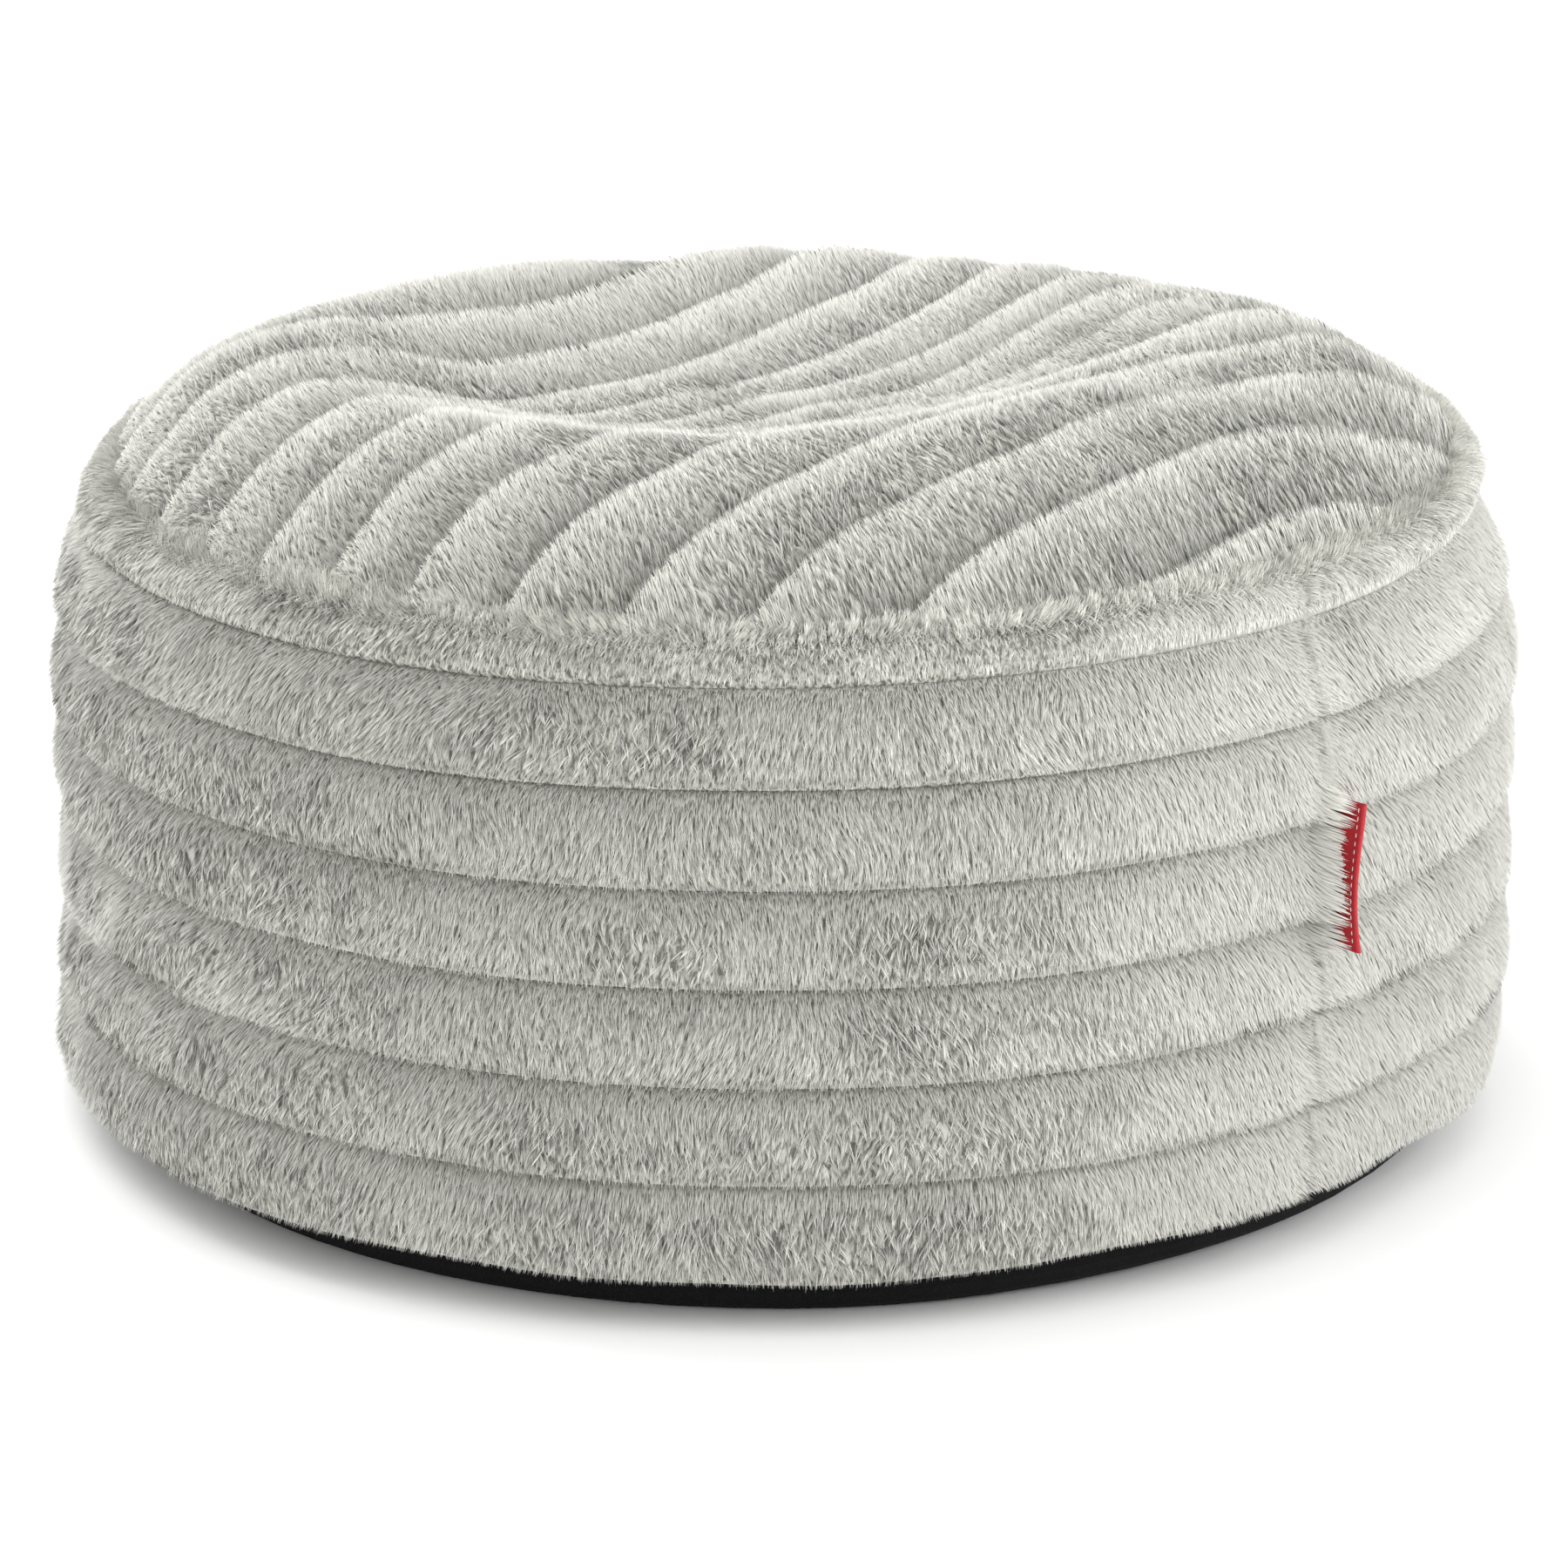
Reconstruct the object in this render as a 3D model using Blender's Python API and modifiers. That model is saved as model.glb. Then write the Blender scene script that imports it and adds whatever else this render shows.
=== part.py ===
"""Round bean bag footstool in ribbed long-pile fabric, standing on a plain woven base.

Metres, +Z up. The origin is on the floor under the middle of the stool, and the photograph's side is -Y.
The stool is four sewn pieces: the ribbed side band, which is the filled drum with a shallow tray on top, the ribbed
top panel, which is the crowned pad that fills the tray, the woven base panel, and a folded tape label in the
band's vertical seam. Each rib swells slowly from its upper seam and drops sharply at its lower one, as
brushed pile does.
"""

import math

import bmesh
import bpy

OBJECT_NAME = "bean_bag_footstool"

# Driving dimensions
GAP = 0.0003
GROOVE_RADIUS = 0.2957  # the band's radius at its sewn grooves
RIB_PITCH = 0.0397  # the fabric's repeat, groove to groove
RIB_HEIGHT = 0.0080  # a side rib above its grooves, pile included
TOP_RIB_HEIGHT = 0.0085
SEAM_RADIUS = 0.2785  # where the top panel is sewn to the band
SEAM_HEIGHT = 0.2700
HEM_RADIUS = 0.2850
HEM_HEIGHT = 0.0170
TRAY_FLOOR = 0.2500
PANEL_GAP = 0.0012  # between the tray's wall and the top panel's edge
TURN_STEPS = 84
CREASE_DEGREES = 50.0  # edges that turn more than this are shaded sharp

# The band's grooves from the top seam to the hem: radius, height, and the height of the rib below the groove
BAND_GROOVES = (
    (SEAM_RADIUS, SEAM_HEIGHT, 0.0030),
    (0.2890, 0.2567, RIB_HEIGHT),
    (GROOVE_RADIUS, 0.2180, RIB_HEIGHT),
    (GROOVE_RADIUS, 0.1783, RIB_HEIGHT),
    (GROOVE_RADIUS, 0.1386, RIB_HEIGHT),
    (GROOVE_RADIUS, 0.0989, RIB_HEIGHT),
    (GROOVE_RADIUS, 0.0593, 0.0145),
    (HEM_RADIUS, HEM_HEIGHT, 0.0),
)

# A rib's section: share of the way from its upper groove to its lower one, share of its full height
RIB_SECTION = (
    (0.00, 0.00),
    (0.18, 0.45),
    (0.50, 0.90),
    (0.82, 1.00),
    (0.96, 0.70),
)

# The top panel's grooves lie level with this surface: distance from the sat-in hollow's middle, then the height
# in front of it, at its sides and behind it
CROWN_ROWS = (
    (0.0000, 0.2800, 0.2800, 0.2800),
    (0.0500, 0.2840, 0.2815, 0.2790),
    (0.1000, 0.2915, 0.2860, 0.2850),
    (0.1500, 0.3060, 0.3030, 0.2925),
    (0.1850, 0.3175, 0.3100, 0.2995),
    (0.2150, 0.3115, 0.3085, 0.2945),
    (0.2400, 0.3015, 0.3000, 0.2850),
    (0.2600, 0.2880, 0.2840, 0.2785),
    (SEAM_RADIUS, SEAM_HEIGHT, SEAM_HEIGHT, SEAM_HEIGHT),
)
HOLLOW_X = -0.045
HOLLOW_Y = 0.045
TOP_RIB_ANGLE = math.radians(45.0)  # the top ribs' direction, from +X towards +Y
TOP_RIB_OFFSET = 0.0175  # the groove nearest the middle, towards the back left
TOP_ROW_SHARES = (0.00, 0.09, 0.18, 0.34, 0.50, 0.66, 0.82, 0.96)  # where a top rib has rows of points
TOP_COLUMNS = 28
ROW_OVERRUN = 1.02  # the grid's rows end this much outside the round outline
SHORT_ROW_SHARE = 0.93  # rows further out than this share of the radius are all as long
EDGE_FADE = 0.0180  # the width of the rim where the top ribs flatten towards the seam
EDGE_FADE_SHARE = 0.85
CUTTER_DEPTH = 0.3000  # the cylinder that cuts the top panel round

# The base panel under the drum: radius and height of its edge, from top to floor
UNDERSIDE = HEM_HEIGHT + 0.0005  # the drum's level underside
BASE_TOP = UNDERSIDE - GAP
BASE_EDGE = (
    (0.2770, BASE_TOP),
    (0.2800, 0.0155),
    (0.2795, 0.0095),
    (0.2765, 0.0040),
    (0.2720, 0.0010),
    (0.2660, 0.0000),
    (0.2560, 0.0000),
)
BASE_RIM_RADIUS = BASE_EDGE[0][0]
STANDING_RADIUS = BASE_EDGE[-1][0]
UNDER_RIM_RADIUS = (BASE_RIM_RADIUS + STANDING_RADIUS) / 2.0  # a ring halfway out to the rim in both facing surfaces

# The vertical seam of the band, at the right of the front
SEAM_AZIMUTH = math.radians(-45.0)
SEAM_FLOOR = 0.0016  # half the width of the seam's flat bottom
SEAM_SPREAD = 0.0075
SEAM_DEPTH = 0.0020
SEAM_FLATTENING = 0.55  # how much of a rib's height is lost in the seam
CLOSE_RANGE = 6.5 * math.tau / TURN_STEPS  # the turned columns this near the seam crowd towards it
CLOSE_POWER = 1.75

# The label, a tape folded at its outer edge
LABEL_TOP = 0.1875
LABEL_BOTTOM = 0.1290
LABEL_REACH = 0.3185
LABEL_WALL = 0.0006
LABEL_HALF_WIDTH = 0.0009
LABEL_BEND = 0.0035
LABEL_FOLD_POINTS = 5
LABEL_CLEARANCE = 2.0 * GAP  # between the tape's inner edge and the seam's bottom

# The stool's unevenness
LEAN = 0.0136  # the right side stands this much higher for each metre towards the right
LEAN_FULL_HEIGHT = 0.2600
RIGHT_LIFT = 0.0040  # the hem's lift off the floor on the right
RIGHT_LIFT_REACH = 0.2000
RIGHT_LIFT_HEIGHT = 0.0800
PRESS = 0.0090  # how far the shoulder is pressed in on the side that PRESS_AZIMUTH gives
PRESS_AZIMUTH = math.radians(20.0)
PRESS_BOTTOM = 0.1950
PRESS_FADE = 0.0550
SWAY = 0.0030  # the bottom ribs' shift towards the left
SWAY_HEIGHT = 0.0900
LUMP_START = 0.2810  # nothing nearer the axis than this moves sideways
LUMP_FADE = 0.0100
# Soft radial lumps: height, waves round the stool, start angle, waves per metre upwards
LUMPS = (
    (0.0014, 2, 0.6, 4.0),
    (0.0009, 5, 2.1, -9.0),
    (0.0006, 9, 4.4, 14.0),
)

# Material colours: red, green, blue, roughness
FUR = (0.62, 0.62, 0.58, 0.95)
WOVEN_BLACK = (0.012, 0.012, 0.012, 0.85)
TAPE_RED = (0.52, 0.010, 0.015, 0.70)


def smoothstep(value):
    """0 to 1 with level ends."""
    value = min(max(value, 0.0), 1.0)
    return value * value * (3.0 - 2.0 * value)


def curve_through(rows, column, at):
    """The height in one column of a table at a given first-column value, on a smooth curve through its rows."""
    last = len(rows) - 1
    at = min(max(at, rows[0][0]), rows[last][0])
    index = 0
    while index < last - 1 and at > rows[index + 1][0]:
        index += 1
    before = rows[max(index - 1, 0)]
    start = rows[index]
    end = rows[index + 1]
    after = rows[min(index + 2, last)]
    span = end[0] - start[0]
    share = (at - start[0]) / span
    start_slope = (end[column] - before[column]) / (end[0] - before[0]) * span
    end_slope = (after[column] - start[column]) / (after[0] - start[0]) * span
    square = share * share
    cube = square * share
    return (
        (2.0 * cube - 3.0 * square + 1.0) * start[column]
        + (cube - 2.0 * square + share) * start_slope
        + (3.0 * square - 2.0 * cube) * end[column]
        + (cube - square) * end_slope
    )


def crown(x, y):
    """The height of the top panel's grooves, with the sat-in hollow behind the middle."""
    inward = 1.0 - min(math.hypot(x, y) / SEAM_RADIUS, 1.0)
    from_x = x - HOLLOW_X * inward
    from_y = y - HOLLOW_Y * inward
    radius = math.hypot(from_x, from_y)
    facing = from_y / max(radius, GAP)
    front = smoothstep(-facing)
    back = smoothstep(facing)
    return (
        front * curve_through(CROWN_ROWS, 1, radius)
        + (1.0 - front - back) * curve_through(CROWN_ROWS, 2, radius)
        + back * curve_through(CROWN_ROWS, 3, radius)
    )


def seam_share(azimuth, radius):
    """1 in the bottom of the band's vertical seam, falling to 0 on both sides of it."""
    turn = math.remainder(azimuth - SEAM_AZIMUTH, math.tau)
    beside = max(abs(turn) * radius - SEAM_FLOOR, 0.0)
    return math.exp(-((beside / SEAM_SPREAD) ** 2))


def crowd_towards_seam(azimuth):
    """The turned columns' azimuth, drawn together near the vertical seam."""
    turn = math.remainder(azimuth - SEAM_AZIMUTH, math.tau)
    share = min(abs(turn) / CLOSE_RANGE, 1.0)
    return SEAM_AZIMUTH + math.copysign(CLOSE_RANGE * share**CLOSE_POWER, turn) if share < 1.0 else azimuth


def uneven(x, y, z):
    """A point moved by the stool's lean, lifted right side, pressed shoulder, sway and soft lumps."""
    radius = math.hypot(x, y)
    azimuth = math.atan2(y, x)
    outward = smoothstep((radius - LUMP_START) / LUMP_FADE)
    lump = sum(
        height * math.sin(waves * azimuth + start + upward * z)
        for height, waves, start, upward in LUMPS
    )
    press = PRESS * (0.5 + 0.5 * math.cos(azimuth - PRESS_AZIMUTH))
    press *= smoothstep((z - PRESS_BOTTOM) / PRESS_FADE)
    scale = 1.0 + outward * (lump - press) / max(radius, GAP)
    lift = RIGHT_LIFT * smoothstep(x / RIGHT_LIFT_REACH)
    lift *= 1.0 - smoothstep(z / RIGHT_LIFT_HEIGHT)
    lift *= smoothstep((radius - STANDING_RADIUS) / (BASE_RIM_RADIUS - STANDING_RADIUS))
    lean = LEAN * x * z / LEAN_FULL_HEIGHT
    sway = SWAY * outward * (1.0 - smoothstep(z / SWAY_HEIGHT))
    return x * scale - sway, y * scale, z + lean + lift


def band_outline():
    """The band's outer outline from the top seam to the hem, as (radius, height) rows."""
    outline = []
    for upper, lower in zip(BAND_GROOVES, BAND_GROOVES[1:]):
        radius, height, rib = upper
        next_radius, next_height, _ = lower
        across = next_radius - radius
        down = next_height - height
        length = math.hypot(across, down)
        for share, rise in RIB_SECTION:
            out = rise * rib
            outline.append(
                (
                    radius + across * share - down / length * out,
                    height + down * share + across / length * out,
                )
            )
    outline.append((HEM_RADIUS, HEM_HEIGHT))
    return outline


def make_material(name, colour):
    material = bpy.data.materials.new(name)
    material.use_nodes = True
    shader = material.node_tree.nodes["Principled BSDF"]
    red, green, blue, roughness = colour
    shader.inputs["Base Color"].default_value = (red, green, blue, 1.0)
    shader.inputs["Roughness"].default_value = roughness
    shader.inputs["Metallic"].default_value = 0.0
    return material


def add_object(name, mesh, collection, material):
    made = bpy.data.objects.new(name, mesh)
    collection.objects.link(made)
    mesh.materials.clear()
    mesh.materials.append(material)
    return made


def turned_mesh(name, outline, collection):
    """The mesh of an outline turned about the Z axis, with its modifier applied so that its points can move."""
    profile = bpy.data.meshes.new(name + "_profile")
    points = [(radius, 0.0, height) for radius, height in outline]
    edges = [(index, index + 1) for index in range(len(points) - 1)]
    profile.from_pydata(points, edges, [])
    turning = bpy.data.objects.new(name + "_turning", profile)
    collection.objects.link(turning)
    screw = turning.modifiers.new("turn", "SCREW")
    screw.axis = "Z"
    screw.steps = TURN_STEPS
    screw.render_steps = TURN_STEPS
    screw.use_merge_vertices = True
    screw.merge_threshold = 0.00001
    evaluated = turning.evaluated_get(bpy.context.evaluated_depsgraph_get())
    mesh = bpy.data.meshes.new_from_object(evaluated)
    mesh.name = name
    bpy.data.objects.remove(turning)
    return mesh


def move_points(mesh, place):
    """Moves each point of a mesh to the place that a function gives for it."""
    for vertex in mesh.vertices:
        vertex.co = place(*vertex.co)
    mesh.update()


def smooth_by_angle(mesh):
    mesh.shade_smooth()
    mesh.set_sharp_from_angle(angle=math.radians(CREASE_DEGREES))


def place_on_band(x, y, z):
    """A turned point of the drum or base, drawn towards the vertical seam, sunk in it, and made uneven."""
    radius = math.hypot(x, y)
    azimuth = crowd_towards_seam(math.atan2(y, x))
    sunk = seam_share(azimuth, radius) * smoothstep((radius - LUMP_START) / LUMP_FADE)
    radius -= sunk * (SEAM_DEPTH + SEAM_FLATTENING * max(radius - GROOVE_RADIUS, 0.0))
    return uneven(radius * math.cos(azimuth), radius * math.sin(azimuth), z)


def make_side_band(collection, material):
    """The filled drum: tray floor, tray wall, seven ribs, the tucked-in hem and the level underside."""
    outline = [(0.0, TRAY_FLOOR), (SEAM_RADIUS, TRAY_FLOOR)]
    outline += band_outline()
    under_rings = (BASE_RIM_RADIUS, UNDER_RIM_RADIUS, STANDING_RADIUS, 0.0)
    outline += [(radius, UNDERSIDE) for radius in under_rings]
    mesh = turned_mesh("side_band", outline, collection)
    move_points(mesh, place_on_band)
    smooth_by_angle(mesh)
    return add_object("side_band", mesh, collection, material)


def make_base_panel(collection, material):
    """The woven disc under the drum, flat where it stands and rounded up to the hem."""
    outline = [(radius, BASE_TOP) for radius in (0.0, STANDING_RADIUS, UNDER_RIM_RADIUS)]
    outline += list(BASE_EDGE)
    outline += [(0.0, 0.0)]
    mesh = turned_mesh("base_panel", outline, collection)
    move_points(mesh, place_on_band)
    smooth_by_angle(mesh)
    return add_object("base_panel", mesh, collection, material)


def rib_rise(share):
    """A rib's height at a share of its width, straight between the points of its section."""
    for (start, low), (end, high) in zip(RIB_SECTION, RIB_SECTION[1:]):
        if share <= end:
            return low + (high - low) * (share - start) / (end - start)
    return 0.0


def top_rows():
    """Where the rows of the top panel's grid lie across its ribs, with each row's rib height."""
    reach = SEAM_RADIUS + RIB_PITCH
    first = TOP_RIB_OFFSET - math.ceil((reach + TOP_RIB_OFFSET) / RIB_PITCH) * RIB_PITCH
    ribs = math.ceil((reach - first) / RIB_PITCH)
    return [
        (first + (rib + share) * RIB_PITCH, rib_rise(share))
        for rib in range(ribs)
        for share in TOP_ROW_SHARES
    ]


def half_chord(place):
    """How far a row of the top panel's grid runs either way from its middle: just past the round outline."""
    reach = SEAM_RADIUS * ROW_OVERRUN
    return math.sqrt(reach * reach - min(abs(place), SHORT_ROW_SHARE * reach) ** 2)


def make_top_panel(collection, cutters, material):
    """The crowned pad in the tray: a grid along the ribs, closed below and cut round by a cylinder."""
    rows = top_rows()
    grid = bmesh.new()
    bmesh.ops.create_grid(grid, x_segments=TOP_COLUMNS, y_segments=len(rows) - 1, size=0.5)
    along = (math.cos(TOP_RIB_ANGLE), math.sin(TOP_RIB_ANGLE))
    across = (-math.sin(TOP_RIB_ANGLE), math.cos(TOP_RIB_ANGLE))
    for vertex in grid.verts:
        place, rise = rows[round((vertex.co.y + 0.5) * (len(rows) - 1))]
        run = half_chord(place) * math.sin(math.pi * vertex.co.x)
        x = along[0] * run + across[0] * place
        y = along[1] * run + across[1] * place
        flat = EDGE_FADE_SHARE * smoothstep((math.hypot(x, y) - SEAM_RADIUS) / EDGE_FADE + 1.0)
        vertex.co = uneven(x, y, crown(x, y) + rise * TOP_RIB_HEIGHT * (1.0 - flat))
    rim = [edge for edge in grid.edges if edge.is_boundary]
    walls = bmesh.ops.extrude_edge_only(grid, edges=rim)["geom"]
    lowered = [item for item in walls if isinstance(item, bmesh.types.BMVert)]
    for vertex in lowered:
        x, y, _ = vertex.co
        vertex.co = uneven(x, y, TRAY_FLOOR + GAP)
    bmesh.ops.holes_fill(grid, edges=[edge for edge in grid.edges if edge.is_boundary], sides=0)
    bmesh.ops.recalc_face_normals(grid, faces=grid.faces)
    mesh = bpy.data.meshes.new("top_panel")
    grid.to_mesh(mesh)
    grid.free()
    smooth_by_angle(mesh)
    panel = add_object("top_panel", mesh, collection, material)

    bpy.ops.mesh.primitive_cylinder_add(
        vertices=TURN_STEPS,
        radius=SEAM_RADIUS - PANEL_GAP,
        depth=CUTTER_DEPTH,
        location=(0.0, 0.0, SEAM_HEIGHT),
    )
    cutter = bpy.context.object
    cutter.name = "top_panel_outline"
    for holder in list(cutter.users_collection):
        holder.objects.unlink(cutter)
    cutters.objects.link(cutter)
    cutter.hide_render = True
    cutter.display_type = "WIRE"
    trim = panel.modifiers.new("round_outline", "BOOLEAN")
    trim.operation = "INTERSECT"
    trim.solver = "EXACT"
    trim.object = cutter
    return panel


def outline_radius(outline, height):
    """The band's outer radius at a height between its first groove and its hem."""
    for (radius, z), (next_radius, next_z) in zip(outline, outline[1:]):
        if next_z <= height <= z:
            return radius + (next_radius - radius) * (z - height) / (z - next_z)
    return GROOVE_RADIUS


def label_section(root):
    """The tape's centre line seen from above, from its left root round the fold to its right root: across, out."""
    half = LABEL_HALF_WIDTH - LABEL_WALL / 2.0
    centre = LABEL_REACH - LABEL_HALF_WIDTH
    straight = (root, (root + centre) / 2.0)
    fold = [
        (-half * math.cos(turn), centre + half * math.sin(turn))
        for turn in (math.pi * step / (LABEL_FOLD_POINTS - 1) for step in range(LABEL_FOLD_POINTS))
    ]
    return [(-half, out) for out in straight] + fold + [(half, out) for out in reversed(straight)]


def make_label(collection, material):
    """The folded tape, its root along the bottom of the vertical seam and its fold outwards."""
    outline = band_outline()
    build = bmesh.new()
    rows = []
    out_x, out_y = math.cos(SEAM_AZIMUTH), math.sin(SEAM_AZIMUTH)
    side_x, side_y = -out_y, out_x
    between = [z for _, z in outline if LABEL_BOTTOM < z < LABEL_TOP]
    for z in [LABEL_TOP] + between + [LABEL_BOTTOM]:
        share = (LABEL_TOP - z) / (LABEL_TOP - LABEL_BOTTOM)
        radius = outline_radius(outline, z)
        root = radius - SEAM_DEPTH - SEAM_FLATTENING * max(radius - GROOVE_RADIUS, 0.0) + LABEL_CLEARANCE
        points = []
        for across, out in label_section(root):
            outer = (out - root) / (LABEL_REACH - root)
            across -= LABEL_BEND * math.sin(math.pi * share) * outer * outer
            x = out_x * out + side_x * across
            y = out_y * out + side_y * across
            points.append(build.verts.new(uneven(x, y, z)))
        rows.append(points)
    for upper, lower in zip(rows, rows[1:]):
        for index in range(len(upper) - 1):
            build.faces.new((upper[index], upper[index + 1], lower[index + 1], lower[index]))
    mesh = bpy.data.meshes.new("label")
    build.to_mesh(mesh)
    build.free()
    smooth_by_angle(mesh)
    label = add_object("label", mesh, collection, material)
    thick = label.modifiers.new("tape", "SOLIDIFY")
    thick.thickness = LABEL_WALL
    thick.offset = 0.0
    return label


def main():
    for old in list(bpy.data.objects):
        bpy.data.objects.remove(old, do_unlink=True)
    stool = bpy.data.collections.new(OBJECT_NAME)
    cutters = bpy.data.collections.new("cutters")
    bpy.context.scene.collection.children.link(stool)
    bpy.context.scene.collection.children.link(cutters)
    make_side_band(stool, make_material("band_fur", FUR))
    make_top_panel(stool, cutters, make_material("top_fur", FUR))
    make_base_panel(stool, make_material("woven_black", WOVEN_BLACK))
    make_label(stool, make_material("tape_red", TAPE_RED))


main()
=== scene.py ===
"""The looks of the round bean bag footstool: ribbed long pile, woven base and red tape label.

Metres, +Z up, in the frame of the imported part, with the photograph's side at -Y. The pile is modelled as
tapered blades that root in a soft under-pile surface and end on the ribs' outer surface. They lie with the
nap, downwards on the band and towards the back left on the top, gather into locks, and stand up in tufts
along the top seam.
"""

import math
from collections import namedtuple

import bpy
import numpy as np
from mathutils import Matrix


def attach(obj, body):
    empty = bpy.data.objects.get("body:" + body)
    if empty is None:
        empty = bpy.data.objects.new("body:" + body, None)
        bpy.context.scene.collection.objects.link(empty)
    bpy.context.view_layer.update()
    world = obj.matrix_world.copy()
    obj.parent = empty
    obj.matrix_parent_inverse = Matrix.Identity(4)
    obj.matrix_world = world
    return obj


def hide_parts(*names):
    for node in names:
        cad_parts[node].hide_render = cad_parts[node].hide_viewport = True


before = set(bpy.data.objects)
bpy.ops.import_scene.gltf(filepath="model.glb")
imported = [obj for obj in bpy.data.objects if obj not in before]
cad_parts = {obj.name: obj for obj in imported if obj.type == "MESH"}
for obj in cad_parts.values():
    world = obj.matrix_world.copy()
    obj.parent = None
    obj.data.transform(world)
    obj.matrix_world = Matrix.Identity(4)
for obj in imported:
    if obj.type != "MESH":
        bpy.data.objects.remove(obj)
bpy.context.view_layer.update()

TAU = math.tau

# The stool's form. The comments name the values that differ from the solid part's.
GROOVE_RADIUS = 0.2957
RIB_PITCH = 0.0397
RIB_HEIGHT = 0.0080
SEAM_RADIUS = 0.2785
SEAM_HEIGHT = 0.2700
HEM_RADIUS = 0.2850
HEM_HEIGHT = 0.0170
# The uppermost rib's section starts inside and above the part's top seam and is fuller, since its pile rolls
# over it, and the lowest rib's section ends above the part's hem, since its pile hangs below it.
ROLL_RADIUS = 0.2735
ROLL_TOP = 0.2765
PILE_HEM = 0.0205
TRAY_FLOOR = 0.2500
BAND_GROOVES = np.array(
    (
        (ROLL_RADIUS, ROLL_TOP, 0.0085),
        (0.2890, 0.2567, RIB_HEIGHT),
        (GROOVE_RADIUS, 0.2180, RIB_HEIGHT),
        (GROOVE_RADIUS, 0.1783, RIB_HEIGHT),
        (GROOVE_RADIUS, 0.1386, RIB_HEIGHT),
        (GROOVE_RADIUS, 0.0989, RIB_HEIGHT),
        (GROOVE_RADIUS, 0.0593, 0.0145),
        (HEM_RADIUS, PILE_HEM, 0.0),
    )
)
BAND_RIBS = len(BAND_GROOVES) - 1
BAND_WIDTHS = np.hypot(np.diff(BAND_GROOVES[:, 0]), np.diff(BAND_GROOVES[:, 1]))
CROWN_ROWS = np.array(
    (
        (0.0000, 0.2800, 0.2800, 0.2800),
        (0.0500, 0.2840, 0.2815, 0.2790),
        (0.1000, 0.2915, 0.2860, 0.2850),
        (0.1500, 0.3060, 0.3030, 0.2925),
        (0.1850, 0.3175, 0.3100, 0.2995),
        (0.2150, 0.3115, 0.3085, 0.2945),
        (0.2400, 0.3015, 0.3000, 0.2850),
        (0.2600, 0.2880, 0.2840, 0.2785),
        (SEAM_RADIUS, SEAM_HEIGHT, SEAM_HEIGHT, SEAM_HEIGHT),
    )
)
HOLLOW_X = -0.045
HOLLOW_Y = 0.045
TOP_RIB_ANGLE = math.radians(45.0)
TOP_RIB_OFFSET = 0.0175
# The top's ribs flatten towards the seam over a narrower rim than the part's, and by less
EDGE_FADE = 0.0110
EDGE_FADE_SHARE = 0.60
UNDERSIDE = HEM_HEIGHT + 0.0005
BASE_RIM_RADIUS = 0.2770
STANDING_RADIUS = 0.2560
SEAM_AZIMUTH = math.radians(-45.0)
SEAM_FLOOR = 0.0016
SEAM_SPREAD = 0.0075
SEAM_DEPTH = 0.0020
SEAM_FLATTENING = 0.55
# The tape's top edge is 1.5 mm over the part's, and its inner edge is at one radius, inside the pile
LABEL_TOP = 0.1890
LABEL_BOTTOM = 0.1290
LABEL_REACH = 0.3185
LABEL_ROOT = 0.2925
LABEL_WALL = 0.0006
LABEL_HALF_WIDTH = 0.0009
LABEL_BEND = 0.0035
LEAN = 0.0136
LEAN_FULL_HEIGHT = 0.2600
RIGHT_LIFT = 0.0040
RIGHT_LIFT_REACH = 0.2000
RIGHT_LIFT_HEIGHT = 0.0800
PRESS = 0.0090
PRESS_AZIMUTH = math.radians(20.0)
PRESS_BOTTOM = 0.1950
PRESS_FADE = 0.0550
SWAY = 0.0030
SWAY_HEIGHT = 0.0900
LUMP_START = 0.2810
LUMP_FADE = 0.0100
LUMPS = ((0.0014, 2, 0.6, 4.0), (0.0009, 5, 2.1, -9.0), (0.0006, 9, 4.4, 14.0))

# The pile: blades by piece, and how many objects share them
BAND_BLADES = 530000
TOP_BLADES = 245000
TUFT_BLADES = 52000
BAND_PARTS = 4
TOP_PARTS = 2

# The pile's outer surface over one rib, which overhangs the groove: share of its width, share of its height
CREST = np.array(
    (
        (0.0, 0.0),
        (0.02, 0.20),
        (0.07, 0.34),
        (0.16, 0.50),
        (0.3, 0.70),
        (0.5, 0.90),
        (0.75, 1.05),
        (0.9, 1.05),
        (0.965, 0.90),
        (1.0, 0.50),
    )
)
ROLL_CREST = np.array(
    ((0.0, 0.3), (0.08, 0.6), (0.2, 0.82), (0.4, 0.98), (0.6, 1.0), (0.8, 0.95), (0.93, 0.8), (1.0, 0.5))
)
TOP_PILE_HEIGHT = 0.0118  # of the top's ribs, from a groove that is pressed in by TOP_PRESSED
TOP_PRESSED = 0.0015
SKIN_DEPTH = 0.0036  # of the under-pile surface below the pile's outer surface
SKIN_LOWEST = -0.0015
SKIN_SHARES = (0.0, 0.04, 0.12, 0.25, 0.40, 0.55, 0.70, 0.85, 0.95)  # where its rows of points lie on a rib
ROOT_DEPTH = 0.0042
BAND_LENGTH = TAU * GROOVE_RADIUS
TOP_START = 0.5  # the distance along a top rib that lies at the stool's middle
LOCK_WIDTH = 0.0021
LOCK_LENGTH = 0.0034
NARROW_RIB = 0.03  # ribs below this width are rolls, which is the uppermost one alone

# Sizes of the pile's slow changes over the cloth, and how far each one moves or lifts the blades
STREAM_SIZES = (0.070, 0.024)
STREAM_SHIFTS = (0.012, 0.0045)
PATCH_SIZE = 0.046
RAGGED_SIZE = 0.009
SWELL_SIZE = 0.014
SWELL_HEIGHT = 0.0018
STREAM_STEP = 0.0015  # over which the stream's slope is taken
SWELL_STEP = 0.0008
SHARE_STEP = 0.05  # of a rib's width, over which the surface's own slope is taken
AROUND_STEP = 0.002

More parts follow.
